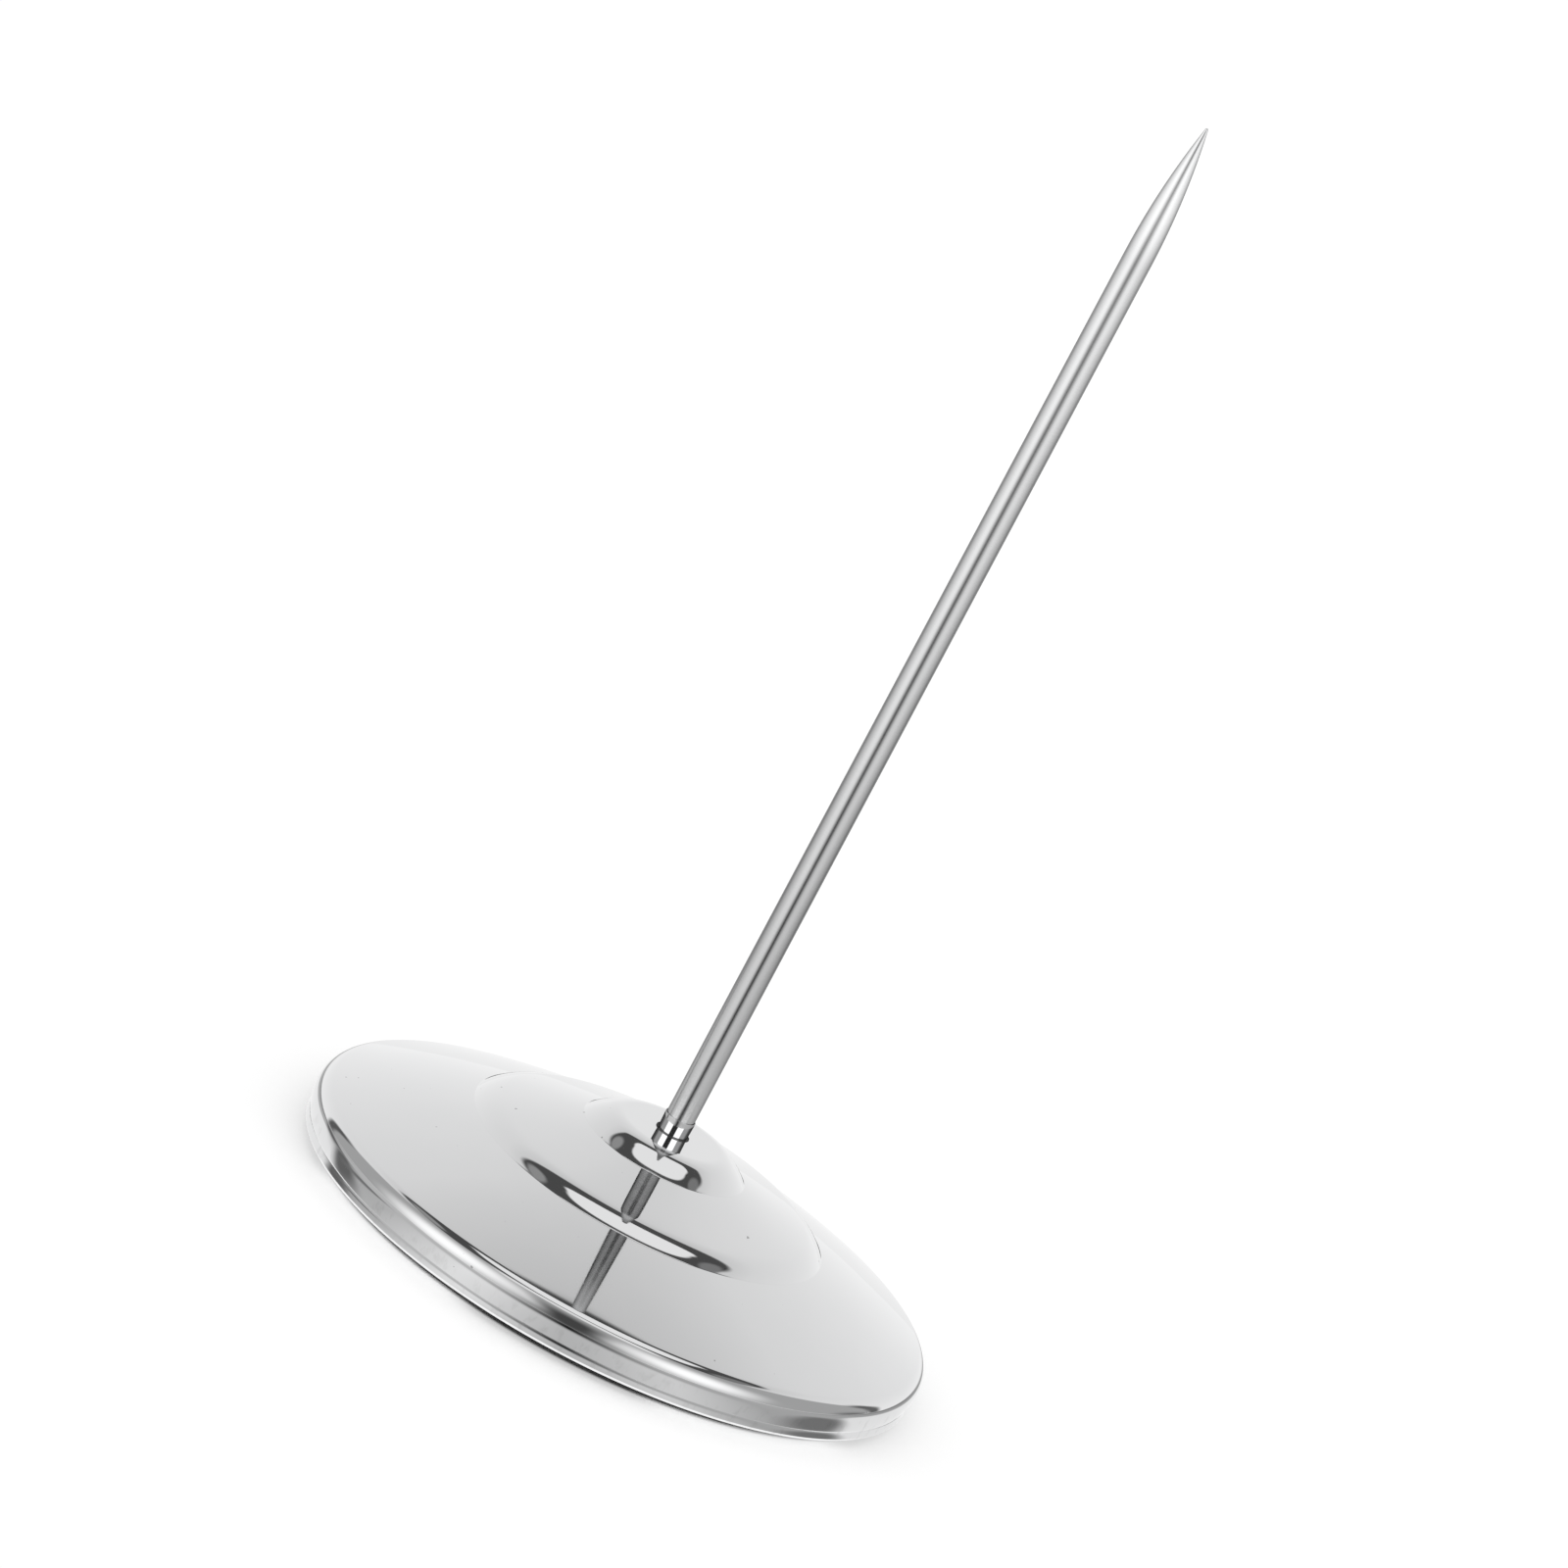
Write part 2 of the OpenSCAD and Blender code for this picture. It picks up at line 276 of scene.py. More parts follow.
def spike_rings():
    """Rings of the rod from its foot up, each as (height, radius or radius by angle)."""
    thread_top = spike_low_z + THREAD_L
    rings = []
    for i in range(round(THREAD_L / THREAD_PITCH * THREAD_ROWS) + 1):
        z = spike_low_z + i * THREAD_PITCH / THREAD_ROWS
        rings.append((z, thread_radius(z, thread_top)))
    rings += [(thread_top + THREAD_PITCH / 2, SHANK_R), (shoulder_z, SHANK_R), (shoulder_z, spike_r)]

    point_z = spike_top_z - TIP_R - POINT_L
    point_in = spike_r - TIP_R
    arc_r = (point_in ** 2 + POINT_L ** 2) / (2 * point_in)
    for t in shares(2 * FINE):
        rings.append((point_z + POINT_L * t, spike_r - arc_r + math.sqrt(arc_r ** 2 - (POINT_L * t) ** 2)))
    for t in shares(COARSE)[1:-1]:
        turn = t * math.pi / 2
        rings.append((spike_top_z - TIP_R + TIP_R * math.sin(turn), TIP_R * math.cos(turn)))
    return rings


def pad_rings():
    """Rings of the foot pad from its underside up, with the soft round edge of pressed foam."""
    turns = [t * math.pi / 2 for t in shares(COARSE)]
    low = [(PAD_ROUND * (1 - math.cos(a)), pad_r - PAD_ROUND * (1 - math.sin(a))) for a in turns]
    return low + [(pad_t - z, r) for z, r in low[::-1]]


# Meshes

def mesh_piece(name, shape, body, slot, *stands_for):
    """A smooth closed mesh, from points in millimetres, that rides on a body and replaces CAD nodes."""
    points, faces = shape
    mesh = bpy.data.meshes.new(name)
    mesh.from_pydata([Vector(p) * MM for p in points], [], faces)
    mesh.validate()
    outside = bmesh.new()
    outside.from_mesh(mesh)
    bmesh.ops.recalc_face_normals(outside, faces=outside.faces)
    outside.to_mesh(mesh)
    outside.free()
    mesh.shade_smooth()
    mesh.set_sharp_from_angle(angle=SHARP_CORNER)
    piece = bpy.data.objects.new(name, mesh)
    bpy.context.scene.collection.objects.link(piece)
    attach(piece, body)
    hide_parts(*stands_for)
    return piece


def around(turns):
    """Equal turns round the axis, in radians."""
    return [2 * math.pi * i / turns for i in range(turns)]


def lathe(outline, turns):
    """Points and faces of a closed outline turned round the axis."""
    points = [(p.x * math.cos(a), p.x * math.sin(a), p.y) for p in outline for a in around(turns)]
    faces = []
    for i in range(len(outline)):
        here, there = i * turns, (i + 1) % len(outline) * turns
        for j in range(turns):
            k = (j + 1) % turns
            faces.append((here + j, there + j, there + k, here + k))
    return points, faces


def stacked(rings, turns, low_z, high_z):
    """Points and faces of rings stacked up the axis, closed by a point at each end."""
    points = []
    for z, r in rings:
        for a in around(turns):
            radius = r(a) if callable(r) else r
            points.append((radius * math.cos(a), radius * math.sin(a), z))
    faces = []
    for i in range(len(rings) - 1):
        here, there = i * turns, (i + 1) * turns
        for j in range(turns):
            k = (j + 1) % turns
            faces.append((here + j, here + k, there + k, there + j))
    foot, tip, last = len(points), len(points) + 1, (len(rings) - 1) * turns
    points += [(0, 0, low_z), (0, 0, high_z)]
    for j in range(turns):
        k = (j + 1) % turns
        faces += [(foot, k, j), (tip, last + j, last + k)]
    return points, faces


# Node helpers

def feed(tree, socket, value):
    """Links a socket to another one, or sets its value."""
    if isinstance(value, bpy.types.NodeSocket):
        tree.links.new(value, socket)
    else:
        socket.default_value = value


def add(tree, kind, **inputs):
    """A node with its inputs set or linked by name."""
    made = tree.nodes.new(kind)
    for key, value in inputs.items():
        feed(tree, made.inputs[key.replace("_", " ")], value)
    return made


def calc(tree, operation, *values):
    """Result of a math node."""
    made = tree.nodes.new("ShaderNodeMath")
    made.operation = operation
    for socket, value in zip(made.inputs, values):
        feed(tree, socket, value)
    return made.outputs[0]


def plus(tree, a, b):
    return calc(tree, "ADD", a, b)


def minus(tree, a, b):
    return calc(tree, "SUBTRACT", a, b)


def times(tree, *values):
    product = values[0]
    for value in values[1:]:
        product = calc(tree, "MULTIPLY", product, value)
    return product


def degrees(tree, angle):
    return times(tree, angle, math.degrees(1))


def length(tree, x, y):
    return calc(tree, "SQRT", plus(tree, times(tree, x, x), times(tree, y, y)))


def split(tree, vector):
    """The X, Y and Z of a vector."""
    return list(add(tree, "ShaderNodeSeparateXYZ", Vector=vector).outputs)


def ramp(tree, value, low, high, to_low=0.0, to_high=1.0, kind="SMOOTHSTEP"):
    """The value carried from one range to another, and held at its ends."""
    made = add(tree, "ShaderNodeMapRange", Value=value, From_Min=low, From_Max=high,
               To_Min=to_low, To_Max=to_high)
    made.interpolation_type = kind
    return made.outputs[0]


def line(tree, value, low, high, to_low=0.0, to_high=1.0):
    """A ramp without rounded ends."""
    return ramp(tree, value, low, high, to_low, to_high, "LINEAR")


MIX_SOCKETS = {"FLOAT": (2, 3, 0), "RGBA": (6, 7, 2)}


def mixed(tree, kind, share, a, b):
    made = tree.nodes.new("ShaderNodeMix")
    made.data_type = kind
    first, second, result = MIX_SOCKETS[kind]
    feed(tree, made.inputs[0], share)
    feed(tree, made.inputs[first], a)
    feed(tree, made.inputs[second], b)
    return made.outputs[result]


def blend(tree, share, a, b):
    """Number a where the share is 0, and b where it is 1."""
    return mixed(tree, "FLOAT", share, a, b)


def tint(tree, share, a, b):
    """Colour a where the share is 0, and b where it is 1."""
    return mixed(tree, "RGBA", share, a, b)


def grey(level):
    return (level, level, level, 1)


def noise(tree, vector, scale, detail=2.0, rough=0.5):
    made = add(tree, "ShaderNodeTexNoise", Vector=vector, Scale=scale, Detail=detail, Roughness=rough)
    return made.outputs[0]


def object_place(tree):
    return tree.nodes.new("ShaderNodeTexCoord").outputs["Object"]


# Materials. Patterns are counted per metre, or per radian where they follow the turn round the axis.

NOISE_SPREAD = (0.3, 0.7)
CLOUD_SPREAD = (0.35, 0.7)
STREAK_ROUGH = 0.6
# Low edge tint of the rod and collar, which darkens their grazing edges: painted shade at their outlines
EDGE_SHADE_TINT = 0.2

SHEET_TONES = (0.75, 0.755, 0.76, 1), (0.775, 0.775, 0.78, 1)
SHEET_RINGS, SHEET_RING_TURN, SHEET_RING_ROUGH = 9000, 1.5, (0.02, 0.045)
SHEET_CLOUD, SHEET_CLOUD_DETAIL, SHEET_CLOUD_ROUGH = 140.0, 3.0, (0.0, 0.015)
SPECKS, SPECK_DETAIL, SPECK_EDGE, SPECK_TONE = 1500.0, 0.0, (0.88, 0.9), 0.4
SCUFF_TURN, SCUFF_HEIGHT = 34, 420
SCUFF_WEAR_SPREAD, SCUFF_WEAR, SCUFF_TONE = (0.5, 0.75), (0.0, 0.45), 0.6
SCUFF_ROUGH_SPREAD, SCUFF_ROUGH = (0.45, 0.7), (0.02, 0.12)
SKIRT_TOP, SKIRT_FULL = 0.0048, 0.0036

ROD_TONES = (0.86, 0.865, 0.87, 1), (0.9, 0.9, 0.905, 1)
ROD_RINGS, ROD_RING_TURN, ROD_RING_ROUGH = 16000, 0.8, (0.1, 0.15)
ROD_CLOUD, ROD_CLOUD_ROUGH = 220.0, (0.0, 0.02)

COLLAR_TONES = (0.86, 0.865, 0.87, 1), (0.92, 0.92, 0.925, 1)
COLLAR_RINGS, COLLAR_RING_TURN, COLLAR_RING_ROUGH = 12000, 0.8, (0.04, 0.07)
# Height and tone of the painted shade in the corner above the collar's lip
LIP_SHADE_H, LIP_SHADE_TONE = 0.04, 0.2

FOAM_TONES, FOAM_ROUGH = (grey(0.012), grey(0.03)), (0.8, 0.95)
FOAM_CELLS, FOAM_CELL_DEPTH = 3200.0, 0.00005
FOAM_CLOUD, FOAM_CLOUD_DETAIL = 400.0, 4.0

MOTTLE_DETAIL, MOTTLE_ROUGH, MOTTLE_GRAIN = 6.0, 0.65, 8

Turned = namedtuple("Turned", "place radius turn height")


def start_material(name, **inputs):
    """A new material with its shader's inputs set by name."""
    material = bpy.data.materials.new(name)
    material.use_nodes = True
    tree = material.node_tree
    shader = tree.nodes["Principled BSDF"]
    for key, value in inputs.items():
        shader.inputs[key.replace("_", " ")].default_value = value
    return material, tree, shader


def turned_place(tree):
    """Position on the piece, and the same as radius, turn and height, in metres and radians."""
    place = object_place(tree)
    x, y, z = split(tree, place)
    return Turned(place, length(tree, x, y), calc(tree, "ARCTAN2", y, x), z)


def streaks(tree, x, y, z=0.0):
    """Noise over coordinates that are already scaled, so that a small scale draws it out into streaks."""
    vector = add(tree, "ShaderNodeCombineXYZ", X=x, Y=y, Z=z).outputs[0]
    return noise(tree, vector, 1.0, rough=STREAK_ROUGH)


def bump(tree, shader, height, distance):
    """Raises the surface by a pattern, to a distance in metres."""
    normal = add(tree, "ShaderNodeBump", Height=height, Distance=distance)
    tree.links.new(normal.outputs[0], shader.inputs["Normal"])


def round_the_axis(tree, shader):
    """Turns the shader's stretched gloss to run up and down a turned piece."""
    tangent = tree.nodes.new("ShaderNodeTangent")
    tangent.direction_type = "RADIAL"
    tangent.axis = "Z"
    tree.links.new(tangent.outputs[0], shader.inputs["Tangent"])


def polished_steel():
    """Mirror-polished sheet with faint polishing rings, a few specks, and light scuffs round the skirt."""
    material, tree, shader = start_material("polished_steel", Metallic=1.0)
    at = turned_place(tree)
    rings = streaks(tree, times(tree, at.radius, SHEET_RINGS), times(tree, at.height, SHEET_RINGS),
                    times(tree, at.turn, SHEET_RING_TURN))
    cloud = noise(tree, at.place, SHEET_CLOUD, SHEET_CLOUD_DETAIL)
    specks = noise(tree, at.place, SPECKS, SPECK_DETAIL)
    scuffs = streaks(tree, times(tree, at.turn, SCUFF_TURN), times(tree, at.height, SCUFF_HEIGHT))
    skirt = ramp(tree, at.height, SKIRT_TOP, SKIRT_FULL)

    worn = times(tree, skirt, ramp(tree, scuffs, *SCUFF_WEAR_SPREAD, *SCUFF_WEAR))
    tone = tint(tree, worn, tint(tree, cloud, *SHEET_TONES), grey(SCUFF_TONE))
    tone = tint(tree, ramp(tree, specks, *SPECK_EDGE), tone, grey(SPECK_TONE))
    tree.links.new(tone, shader.inputs["Base Color"])

    ringed = ramp(tree, rings, *NOISE_SPREAD, *SHEET_RING_ROUGH)
    clouded = ramp(tree, cloud, *CLOUD_SPREAD, *SHEET_CLOUD_ROUGH)
    scuffed = times(tree, skirt, ramp(tree, scuffs, *SCUFF_ROUGH_SPREAD, *SCUFF_ROUGH))
    tree.links.new(plus(tree, plus(tree, ringed, clouded), scuffed), shader.inputs["Roughness"])
    return material


def drawn_steel():
    """Ground rod: its fine rings spread the light a little up and down."""
    material, tree, shader = start_material("drawn_steel", Metallic=1.0, Specular_Tint=grey(EDGE_SHADE_TINT),
                                            Anisotropic=0.8, Anisotropic_Rotation=0.25)
    at = turned_place(tree)
    rings = streaks(tree, times(tree, at.height, ROD_RINGS), times(tree, at.turn, ROD_RING_TURN))
    tree.links.new(tint(tree, rings, *ROD_TONES), shader.inputs["Base Color"])
    ringed = ramp(tree, rings, *NOISE_SPREAD, *ROD_RING_ROUGH)
    clouded = ramp(tree, noise(tree, at.place, ROD_CLOUD), *CLOUD_SPREAD, *ROD_CLOUD_ROUGH)
    tree.links.new(plus(tree, ringed, clouded), shader.inputs["Roughness"])
    round_the_axis(tree, shader)
    return material


def collar_steel():
    """Bright turned collar with tool rings, with painted shade in the corner above its lip."""
    material, tree, shader = start_material("collar_steel", Metallic=1.0, Specular_Tint=grey(EDGE_SHADE_TINT),
                                            Anisotropic=0.7, Anisotropic_Rotation=0.25)
    at = turned_place(tree)
    rings = streaks(tree, times(tree, at.height, COLLAR_RINGS), times(tree, at.radius, COLLAR_RINGS),
                    times(tree, at.turn, COLLAR_RING_TURN))
    # Painted shade: the collar's tone darkens in the corner just above its lip
    painted_lip_shade = ramp(tree, at.height, (lip_top_z + LIP_SHADE_H) * MM, lip_top_z * MM)
    tone = tint(tree, painted_lip_shade, tint(tree, rings, *COLLAR_TONES), grey(LIP_SHADE_TONE))
    tree.links.new(tone, shader.inputs["Base Color"])
    tree.links.new(ramp(tree, rings, *NOISE_SPREAD, *COLLAR_RING_ROUGH), shader.inputs["Roughness"])
    round_the_axis(tree, shader)
    return material


def pad_foam():
    """Black closed-cell foam."""
    material, tree, shader = start_material("pad_foam")
    place = object_place(tree)
    cells = add(tree, "ShaderNodeTexVoronoi", Vector=place, Scale=FOAM_CELLS).outputs[0]
    cloud = noise(tree, place, FOAM_CLOUD, FOAM_CLOUD_DETAIL)
    tree.links.new(tint(tree, cloud, *FOAM_TONES), shader.inputs["Base Color"])
    tree.links.new(ramp(tree, cloud, *NOISE_SPREAD, *FOAM_ROUGH), shader.inputs["Roughness"])
    bump(tree, shader, cells, FOAM_CELL_DEPTH)
    return material


def mottled(name, dark, light, scale, rough, metallic, depth):
    """A finish of two mingled tones with a grain to match, for the pieces inside the base."""
    material, tree, shader = start_material(name, Metallic=metallic)
    place = object_place(tree)
    cloud = noise(tree, place, scale, MOTTLE_DETAIL, MOTTLE_ROUGH)
    grain = noise(tree, place, scale * MOTTLE_GRAIN)
    tone = tint(tree, ramp(tree, cloud, *NOISE_SPREAD), dark, light)
    tree.links.new(tone, shader.inputs["Base Color"])
    tree.links.new(ramp(tree, grain, *NOISE_SPREAD, *rough), shader.inputs["Roughness"])
    bump(tree, shader, grain, depth)
    return material


# Studio, as polished metal mirrors it. A patch has a soft edge, as a share of its reach, a turn in degrees
# towards the front, and a light that is white at 1.

Patch = namedtuple("Patch", "centre reach edge squareness turn light")

# Sky chart, in degrees from overhead: X runs right and Y to the front
TENT = [
    # Lamps behind the tent's front
    Patch((-52, 41), (30, 23), 0.8, 2, 35, 1.3),
    Patch((47, 43), (25, 20), 0.8, 2, -35, 1.3),
    # Seams of the tent, from the overhead frame to the horizon on both sides
    Patch((-58, -38), (9, 4.5), 0.6, 3, 52, 0.12),
    Patch((-67, -45), (11, 5), 0.6, 3, 27, 0.12),
    Patch((-87, -48), (12, 6), 0.6, 3, -6, 0.15),
    Patch((59, -42), (9, 4), 0.6, 3, -52, 0.14),
    Patch((68, -50), (9, 5), 0.6, 3, -31, 0.15),
    Patch((86, -40), (10, 15), 0.6, 2, 0, 0.15),
    # Front edge of the overhead lamp, the dark frame round it, and the lighter lining of the frame's ends
    Patch((0.5, 19), (22, 6), 0.15, 3, 0, 0.9),
    Patch((-1, -7), (34.5, 20.5), 0.05, 2.8, 0, 0.08),
    Patch((-30, -9), (4, 9), 0.3, 2, 15, 0.32),
    Patch((30, -6), (4, 9), 0.3, 2, -15, 0.22),
    # The overhead lamp, squarer at its back than at its front
    Patch((1.5, -9.5), (19, 7), 0.05, 4, 0, 0.97),
    Patch((1.5, -3), (20, 13.5), 0.05, 2.2, 0, 0.97),
    # Shade below the slit that the camera looks through, and the slit
    Patch((1, 86), (26, 16), 0.6, 2, 0, 0.3),
    Patch((0, 66), (13, 31), 0.6, 3, 0, 0.07),
]

# Border between the white back of the tent and its greyer front, which runs back and outward from the frame
BORDER_START = (36, -5)
BORDER_STEEPNESS = 1.6
BORDER_DEPTH = 42
BORDER_EDGE = 3

# Levels of the tent's back, by degrees from overhead, and of its front, by degrees to the front
BACK_TOP, BACK_TOP_OFF = 0.62, 25
BACK_MIDDLE, BACK_MIDDLE_OFF = 0.84, 45
BACK_LOW, BACK_LOW_OFF = 1.02, 90
FRONT_LIGHT, FRONT_REACH = (0.44, 0.62), (0, 70)

# In the world's shader the ray of a first mirror has depth 2, and that of a second one depth 3
SECOND_MIRROR_DEPTH = 2.5

# What a second mirror shows: a dark front and back, bright bars to each side, a pale belt and a pale top
LATER_FRONT = 0.03
LATER_SIDE = 0.23
LATER_LOW = 0.4
LATER_BACK = 0.1
LATER_BAR = 1.6
LATER_TOP = 0.8

# Where one of these turns into the next, in degrees from the front and then in degrees from overhead
LATER_SIDE_TURN, LATER_BACK_TURN = (14, 32), (95, 120)
BAR_START_TURN, BAR_END_TURN = (16, 22), (66, 58)
LATER_TOP_EDGE, LATER_BELT_EDGE, LATER_LOW_EDGE = (31, 28), (44, 47), (58, 62)

PLAIN_LIGHT = 1.0
LEAST_LENGTH = 0.0001


def sky_chart(tree):
    """Where a ray points: degrees right and in front of the point overhead, and degrees away from it."""
    way = tree.nodes.new("ShaderNodeTexCoord").outputs["Generated"]
    x, y, z = split(tree, way)
    off = degrees(tree, calc(tree, "ARCCOSINE", z))
    spread = calc(tree, "DIVIDE", off, calc(tree, "MAXIMUM", length(tree, x, y), LEAST_LENGTH))
    return times(tree, x, spread), times(tree, y, spread, -1.0), off


def patch_share(tree, right, front, patch):
    """Share of a soft-edged patch: 1 inside and 0 outside."""
    x, y = minus(tree, right, patch.centre[0]), minus(tree, front, patch.centre[1])
    cos, sin = math.cos(math.radians(patch.turn)), math.sin(math.radians(patch.turn))
    across, along = patch.reach
    sides = (
        plus(tree, times(tree, x, cos / across), times(tree, y, sin / across)),
        minus(tree, times(tree, y, cos / along), times(tree, x, sin / along)),
    )
    powers = [calc(tree, "POWER", calc(tree, "ABSOLUTE", side), patch.squareness) for side in sides]
    reached = calc(tree, "POWER", plus(tree, *powers), 1 / patch.squareness)
    return ramp(tree, reached, 1 + patch.edge, 1 - patch.edge)


def painted(tree, light, right, front, patches):
    """The light with patches laid over it in their order."""
    for patch in patches:
        light = blend(tree, patch_share(tree, right, front, patch), light, patch.light)
    return light


def tent_light(tree, right, front, off):
    """White back and greyer front of the light tent, with its lamps, frame, seams and slit."""
    upper = line(tree, off, BACK_TOP_OFF, BACK_MIDDLE_OFF, BACK_TOP, BACK_MIDDLE)
    lower = line(tree, off, BACK_MIDDLE_OFF, BACK_LOW_OFF, 0.0, BACK_LOW - BACK_MIDDLE)
    beyond = minus(tree, calc(tree, "ABSOLUTE", right), BORDER_START[0])
    set_back = line(tree, beyond, 0, BORDER_DEPTH / BORDER_STEEPNESS, 0, BORDER_DEPTH)
    past = plus(tree, minus(tree, front, BORDER_START[1]), set_back)
    light = blend(tree, ramp(tree, past, -BORDER_EDGE, BORDER_EDGE),
                  plus(tree, upper, lower), ramp(tree, front, *FRONT_REACH, *FRONT_LIGHT))
    return painted(tree, light, right, front, TENT)


def later_sides(tree, aside, side_light):
    """What a second mirror shows by degrees from the front, without the bars."""
    light = blend(tree, ramp(tree, aside, *LATER_SIDE_TURN), LATER_FRONT, side_light)
    return blend(tree, ramp(tree, aside, *LATER_BACK_TURN), light, LATER_BACK)


def later_bars(tree, aside):
    """What a second mirror shows near the horizon, by degrees from the front."""
    bar = times(tree, ramp(tree, aside, *BAR_START_TURN), ramp(tree, aside, *BAR_END_TURN))
    return blend(tree, bar, later_sides(tree, aside, LATER_LOW), LATER_BAR)


def later_light(tree, right, front, off):
    """What a second mirror shows of the sky: low bars, a pale belt, a dark belt and a pale top."""
    aside = degrees(tree, calc(tree, "ABSOLUTE", calc(tree, "ARCTAN2", right, front)))
    light = blend(tree, ramp(tree, off, *LATER_BELT_EDGE), later_sides(tree, aside, LATER_SIDE), LATER_TOP)
    light = blend(tree, ramp(tree, off, *LATER_LOW_EDGE), light, later_bars(tree, aside))
    return blend(tree, ramp(tree, off, *LATER_TOP_EDGE), light, LATER_TOP)


def studio_world():
    """Plain white to the camera and to dull surfaces, and to polished metal a light tent."""
    world = bpy.data.worlds.new("studio")
    bpy.context.scene.world = world
    world.use_nodes = True
    world.cycles.sampling_method = "NONE"
    tree = world.node_tree
    chart = sky_chart(tree)
    rays = tree.nodes.new("ShaderNodeLightPath").outputs
    second = calc(tree, "GREATER_THAN", rays["Ray Depth"], SECOND_MIRROR_DEPTH)
    light = blend(tree, second, tent_light(tree, *chart), later_light(tree, *chart))
    plain = calc(tree, "MAXIMUM", rays["Is Camera Ray"], rays["Is Diffuse Ray"])
    background = tree.nodes["Background"]
    background.inputs["Color"].default_value = grey(1)
    tree.links.new(blend(tree, plain, light, PLAIN_LIGHT), background.inputs["Strength"])


FLOOR_HALF = 20.0
FLOOR_TONE, FLOOR_GRAIN, FLOOR_CLOUD = 0.56, 0.01, 3.0

# Emission that lifts the floor to near white for the camera, from the edge of the pad outward; inside that
# edge the lift is left out, a painted contact shadow under the hem
FLOOR_LIFT = 0.48
CONTACT_SHADOW_REACH = (0.0369, 0.038)

# Painted light and shade that the floor shows to polished metal, in metres from the axis and degrees from the
# front
SIDE_REACH, SIDE_LIGHT = (0.04, 0.33), (0.56, 0.92)
SIDE_TURN = (50, 120)
SIDE_FALL_REACH, SIDE_FALL = (0.08, 0.14), (0.2, 0.58)
EDGE_REACH, EDGE_LIGHT = (0.37, 0.6), 0.24
SKIRT_REACH, SKIRT_GAIN = (0.049, 0.058), 1.7
SKIRT_TURN, SKIRT_FALL = (24, 46), (1.0, 0.58)
RIGHT_TURN, RIGHT_SHARE = (-23, 23), 0.81
SLIT_REACH, SLIT_LIGHT = (0.07, 0.4), (0.0, 0.14)
SLIT_TURN_NEAR, SLIT_TURN_FAR = (28, -3), (38, -3)
SLIT_START, SLIT_FAINT = (0.05, 0.062), 0.35
BACK_REACH, BACK_LIGHT = (0.052, 0.064), 0.96
BACK_TURN_NEAR, BACK_TURN_FAR = (76, 86), (135, 150)
HEM_REACH, HEM_LIGHT = (0.0408, 0.0405), 1.2
HEM_TURN = (75, 55)
PAINTED_FLOOR_PATCHES = [
    # Painted light on each side of the base
    Patch((-0.04, 0.009), (0.016, 0.0095), 0.2, 4, 21, 0.96),
    Patch((0.041, 0.008), (0.016, 0.0095), 0.25, 4, -21, 0.92),
    # Painted shade, three on the left and one on the right, which the skirt mirrors as streaks
    Patch((-0.085, -0.011), (0.048, 0.006), 0.5, 3, 38, 0.15),
    Patch((-0.042, 0.0195), (0.011, 0.0028), 0.5, 3, 21, 0.15),
    Patch((-0.0413, 0.0265), (0.0068, 0.002), 0.6, 3, 78, 0.2),
    Patch((0.0385, 0.0225), (0.009, 0.0045), 0.5, 2.5, -21, 0.2),
]

# On a surface the ray of a first mirror has depth 1, and that of a second one depth 2
SECOND_MIRROR_BOUNCE = 1.5


def painted_floor_light(tree, place, depth):
    """Painted light and shade that polished metal mirrors of the floor: bright at the sides, and dark in
    front under the slit.
    """
    x, y = split(tree, place)[:2]
    front = times(tree, y, -1.0)
    radius = length(tree, x, y)
    turn = degrees(tree, calc(tree, "ARCTAN2", x, front))
    aside = calc(tree, "ABSOLUTE", turn)
    far = ramp(tree, radius, *SKIRT_REACH)
    edge = line(tree, radius, *EDGE_REACH)
    edge_light = times(tree, edge, EDGE_LIGHT)

    skirt = times(tree, line(tree, aside, *SKIRT_TURN, *SKIRT_FALL), SKIRT_GAIN)
    lost = times(tree, line(tree, aside, *SIDE_TURN), line(tree, radius, *SIDE_FALL_REACH, *SIDE_FALL))
    fall_off = blend(tree, far, skirt, minus(tree, 1.0, lost))
    beside = times(tree, line(tree, radius, *SIDE_REACH, *SIDE_LIGHT), fall_off)
    right = blend(tree, edge, ramp(tree, turn, *RIGHT_TURN, 1.0, RIGHT_SHARE), 1.0)
    beside = times(tree, plus(tree, beside, edge_light), right)

    dark = plus(tree, line(tree, radius, *SLIT_REACH, *SLIT_LIGHT), edge_light)
    narrow, wide = ramp(tree, aside, *SLIT_TURN_NEAR), ramp(tree, aside, *SLIT_TURN_FAR)
    slit = blend(tree, line(tree, radius, *SLIT_REACH), narrow, wide)
    light = blend(tree, times(tree, slit, ramp(tree, radius, *SLIT_START, SLIT_FAINT, 1.0)), beside, dark)

    near_back, far_back = ramp(tree, aside, *BACK_TURN_NEAR), ramp(tree, aside, *BACK_TURN_FAR)
    back = blend(tree, ramp(tree, radius, *BACK_REACH), near_back, far_back)
    light = painted(tree, blend(tree, back, light, BACK_LIGHT), x, front, PAINTED_FLOOR_PATCHES)
    hem = times(tree, ramp(tree, radius, *HEM_REACH), ramp(tree, aside, *HEM_TURN))
    light = blend(tree, hem, light, HEM_LIGHT)

    second = calc(tree, "GREATER_THAN", depth, SECOND_MIRROR_BOUNCE)
    return blend(tree, second, light, later_bars(tree, aside))


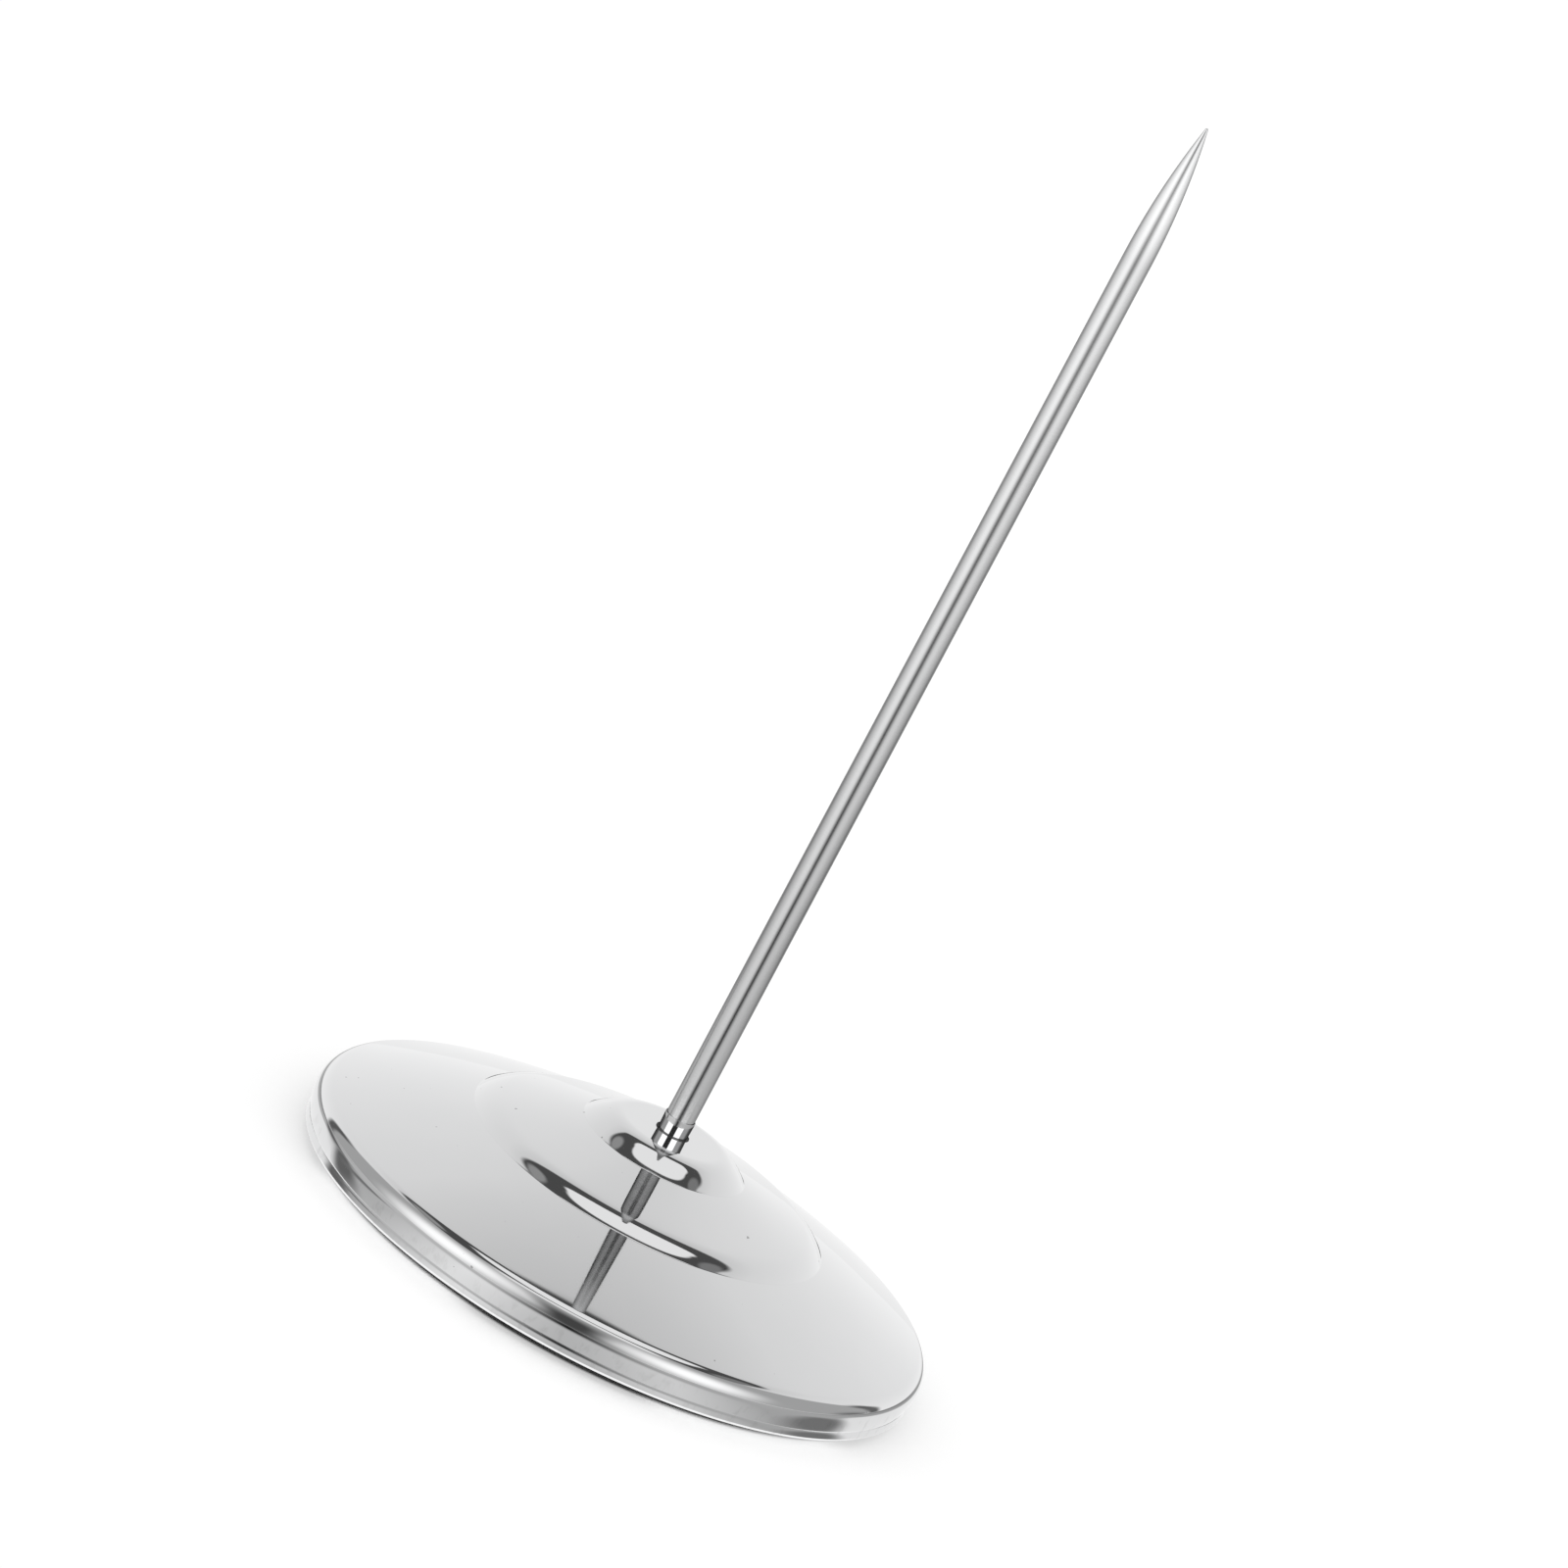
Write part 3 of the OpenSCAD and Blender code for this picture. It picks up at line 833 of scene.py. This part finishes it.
def studio_floor():
    """A plain pale floor to the camera, with a painted contact shadow under the hem, that glows to polished
    metal with painted light and shade.
    """
    mesh = bpy.data.meshes.new("studio_floor")
    corners = [(x * FLOOR_HALF, y * FLOOR_HALF, 0) for x, y in ((-1, -1), (1, -1), (1, 1), (-1, 1))]
    mesh.from_pydata(corners, [], [(0, 1, 2, 3)])
    floor = bpy.data.objects.new("studio_floor", mesh)
    bpy.context.scene.collection.objects.link(floor)
    material, tree, shader = start_material("pale_floor", Roughness=1.0, Specular_IOR_Level=0.0,
                                            Emission_Color=grey(1))
    rays = tree.nodes.new("ShaderNodeLightPath").outputs
    mirrored = calc(tree, "MAXIMUM", rays["Is Glossy Ray"], rays["Is Transmission Ray"])
    place = object_place(tree)
    tones = grey(FLOOR_TONE - FLOOR_GRAIN), grey(FLOOR_TONE + FLOOR_GRAIN)
    tone = tint(tree, noise(tree, place, FLOOR_CLOUD), *tones)
    tree.links.new(tint(tree, mirrored, tone, grey(0)), shader.inputs["Base Color"])
    # The lift is left out inside the pad's edge, a painted contact shadow under the hem
    clear = ramp(tree, length(tree, *split(tree, place)[:2]), *CONTACT_SHADOW_REACH, 0.0, FLOOR_LIFT)
    lift = times(tree, rays["Is Camera Ray"], clear)
    # Painted light and shade for mirror rays, added to the camera's lift
    glow = plus(tree, lift, times(tree, mirrored, painted_floor_light(tree, place, rays["Ray Depth"])))
    tree.links.new(glow, shader.inputs["Emission Strength"])
    material.cycles.emission_sampling = "NONE"
    mesh.materials.append(material)


# Camera: a long lens that looks down on the base, with the spike leaning right in the picture

IMAGE_SIDE = 1600
SENSOR = 36.0
CAMERA_DISTANCE = 6.0
CLIP_END = 100.0
ELEVATION = math.radians(18.5)
LEAN = math.radians(28.05)
PIXELS_PER_MM = 8.65
ORIGIN_PIXEL = (613.6, 1291.8)


def portrait_camera():
    """The camera at the photograph's angle, turned so that the part's origin falls on its pixel."""
    level_right = Vector((1, 0, 0))
    level_up = Vector((0, math.sin(ELEVATION), math.cos(ELEVATION)))
    back = Vector((0, -math.cos(ELEVATION), math.sin(ELEVATION)))
    right = math.cos(LEAN) * level_right + math.sin(LEAN) * level_up
    up = math.cos(LEAN) * level_up - math.sin(LEAN) * level_right
    metres_per_pixel = MM / PIXELS_PER_MM
    across = (IMAGE_SIDE / 2 - ORIGIN_PIXEL[0]) * metres_per_pixel
    upward = (ORIGIN_PIXEL[1] - IMAGE_SIDE / 2) * metres_per_pixel
    place = back * CAMERA_DISTANCE
    back = (place - right * across - up * upward).normalized()
    right = up.cross(back).normalized()
    up = back.cross(right)
    data = bpy.data.cameras.new("portrait")
    data.sensor_width = SENSOR
    data.lens = SENSOR * CAMERA_DISTANCE / (IMAGE_SIDE * metres_per_pixel)
    data.clip_end = CLIP_END
    camera = bpy.data.objects.new("portrait", data)
    turn = Matrix((right, up, back)).transposed().to_4x4()
    camera.matrix_world = Matrix.Translation(place) @ turn
    bpy.context.scene.collection.objects.link(camera)
    bpy.context.scene.camera = camera


# The dressed part

shell = mesh_piece("shell_polished", lathe(shell_outline(), TURNS), "base", "polished_steel", "base_shell")
collar = mesh_piece("collar_bright", lathe(collar_outline(), TURNS), "collar", "collar_steel", "spike_collar")
rod = mesh_piece("spike_ground", stacked(spike_rings(), ROD_TURNS, spike_low_z, spike_top_z),
                 "spike", "drawn_steel", "spike")
pad = mesh_piece("foot_pad_foam", stacked(pad_rings(), TURNS, 0, pad_t), "base", "pad_foam", "foot_pad")

finishes = {
    "polished_steel": polished_steel(),
    "drawn_steel": drawn_steel(),
    "collar_steel": collar_steel(),
    "pad_foam": pad_foam(),
    "adhesive": mottled("adhesive", dark=(0.62, 0.58, 0.44, 1), light=(0.76, 0.72, 0.6, 1), scale=500,
                        rough=(0.35, 0.6), metallic=0.0, depth=0.00001),
    "raw_iron": mottled("raw_iron", dark=grey(0.12), light=grey(0.26), scale=260,
                        rough=(0.5, 0.75), metallic=0.9, depth=0.00004),
    "plated_steel": mottled("plated_steel", dark=(0.58, 0.57, 0.5, 1), light=(0.72, 0.71, 0.67, 1), scale=420,
                            rough=(0.25, 0.42), metallic=1.0, depth=0.00001),
}
shell.data.materials.append(finishes["polished_steel"])
collar.data.materials.append(finishes["collar_steel"])
rod.data.materials.append(finishes["drawn_steel"])
pad.data.materials.append(finishes["pad_foam"])
for part in frame["record"]["subparts"]:
    node = frame["nodes"][part["node"]]
    node.data.materials.clear()
    node.data.materials.append(finishes[part["material_slot"]])

studio_world()
studio_floor()
portrait_camera()
bpy.context.scene.view_settings.view_transform = "Standard"
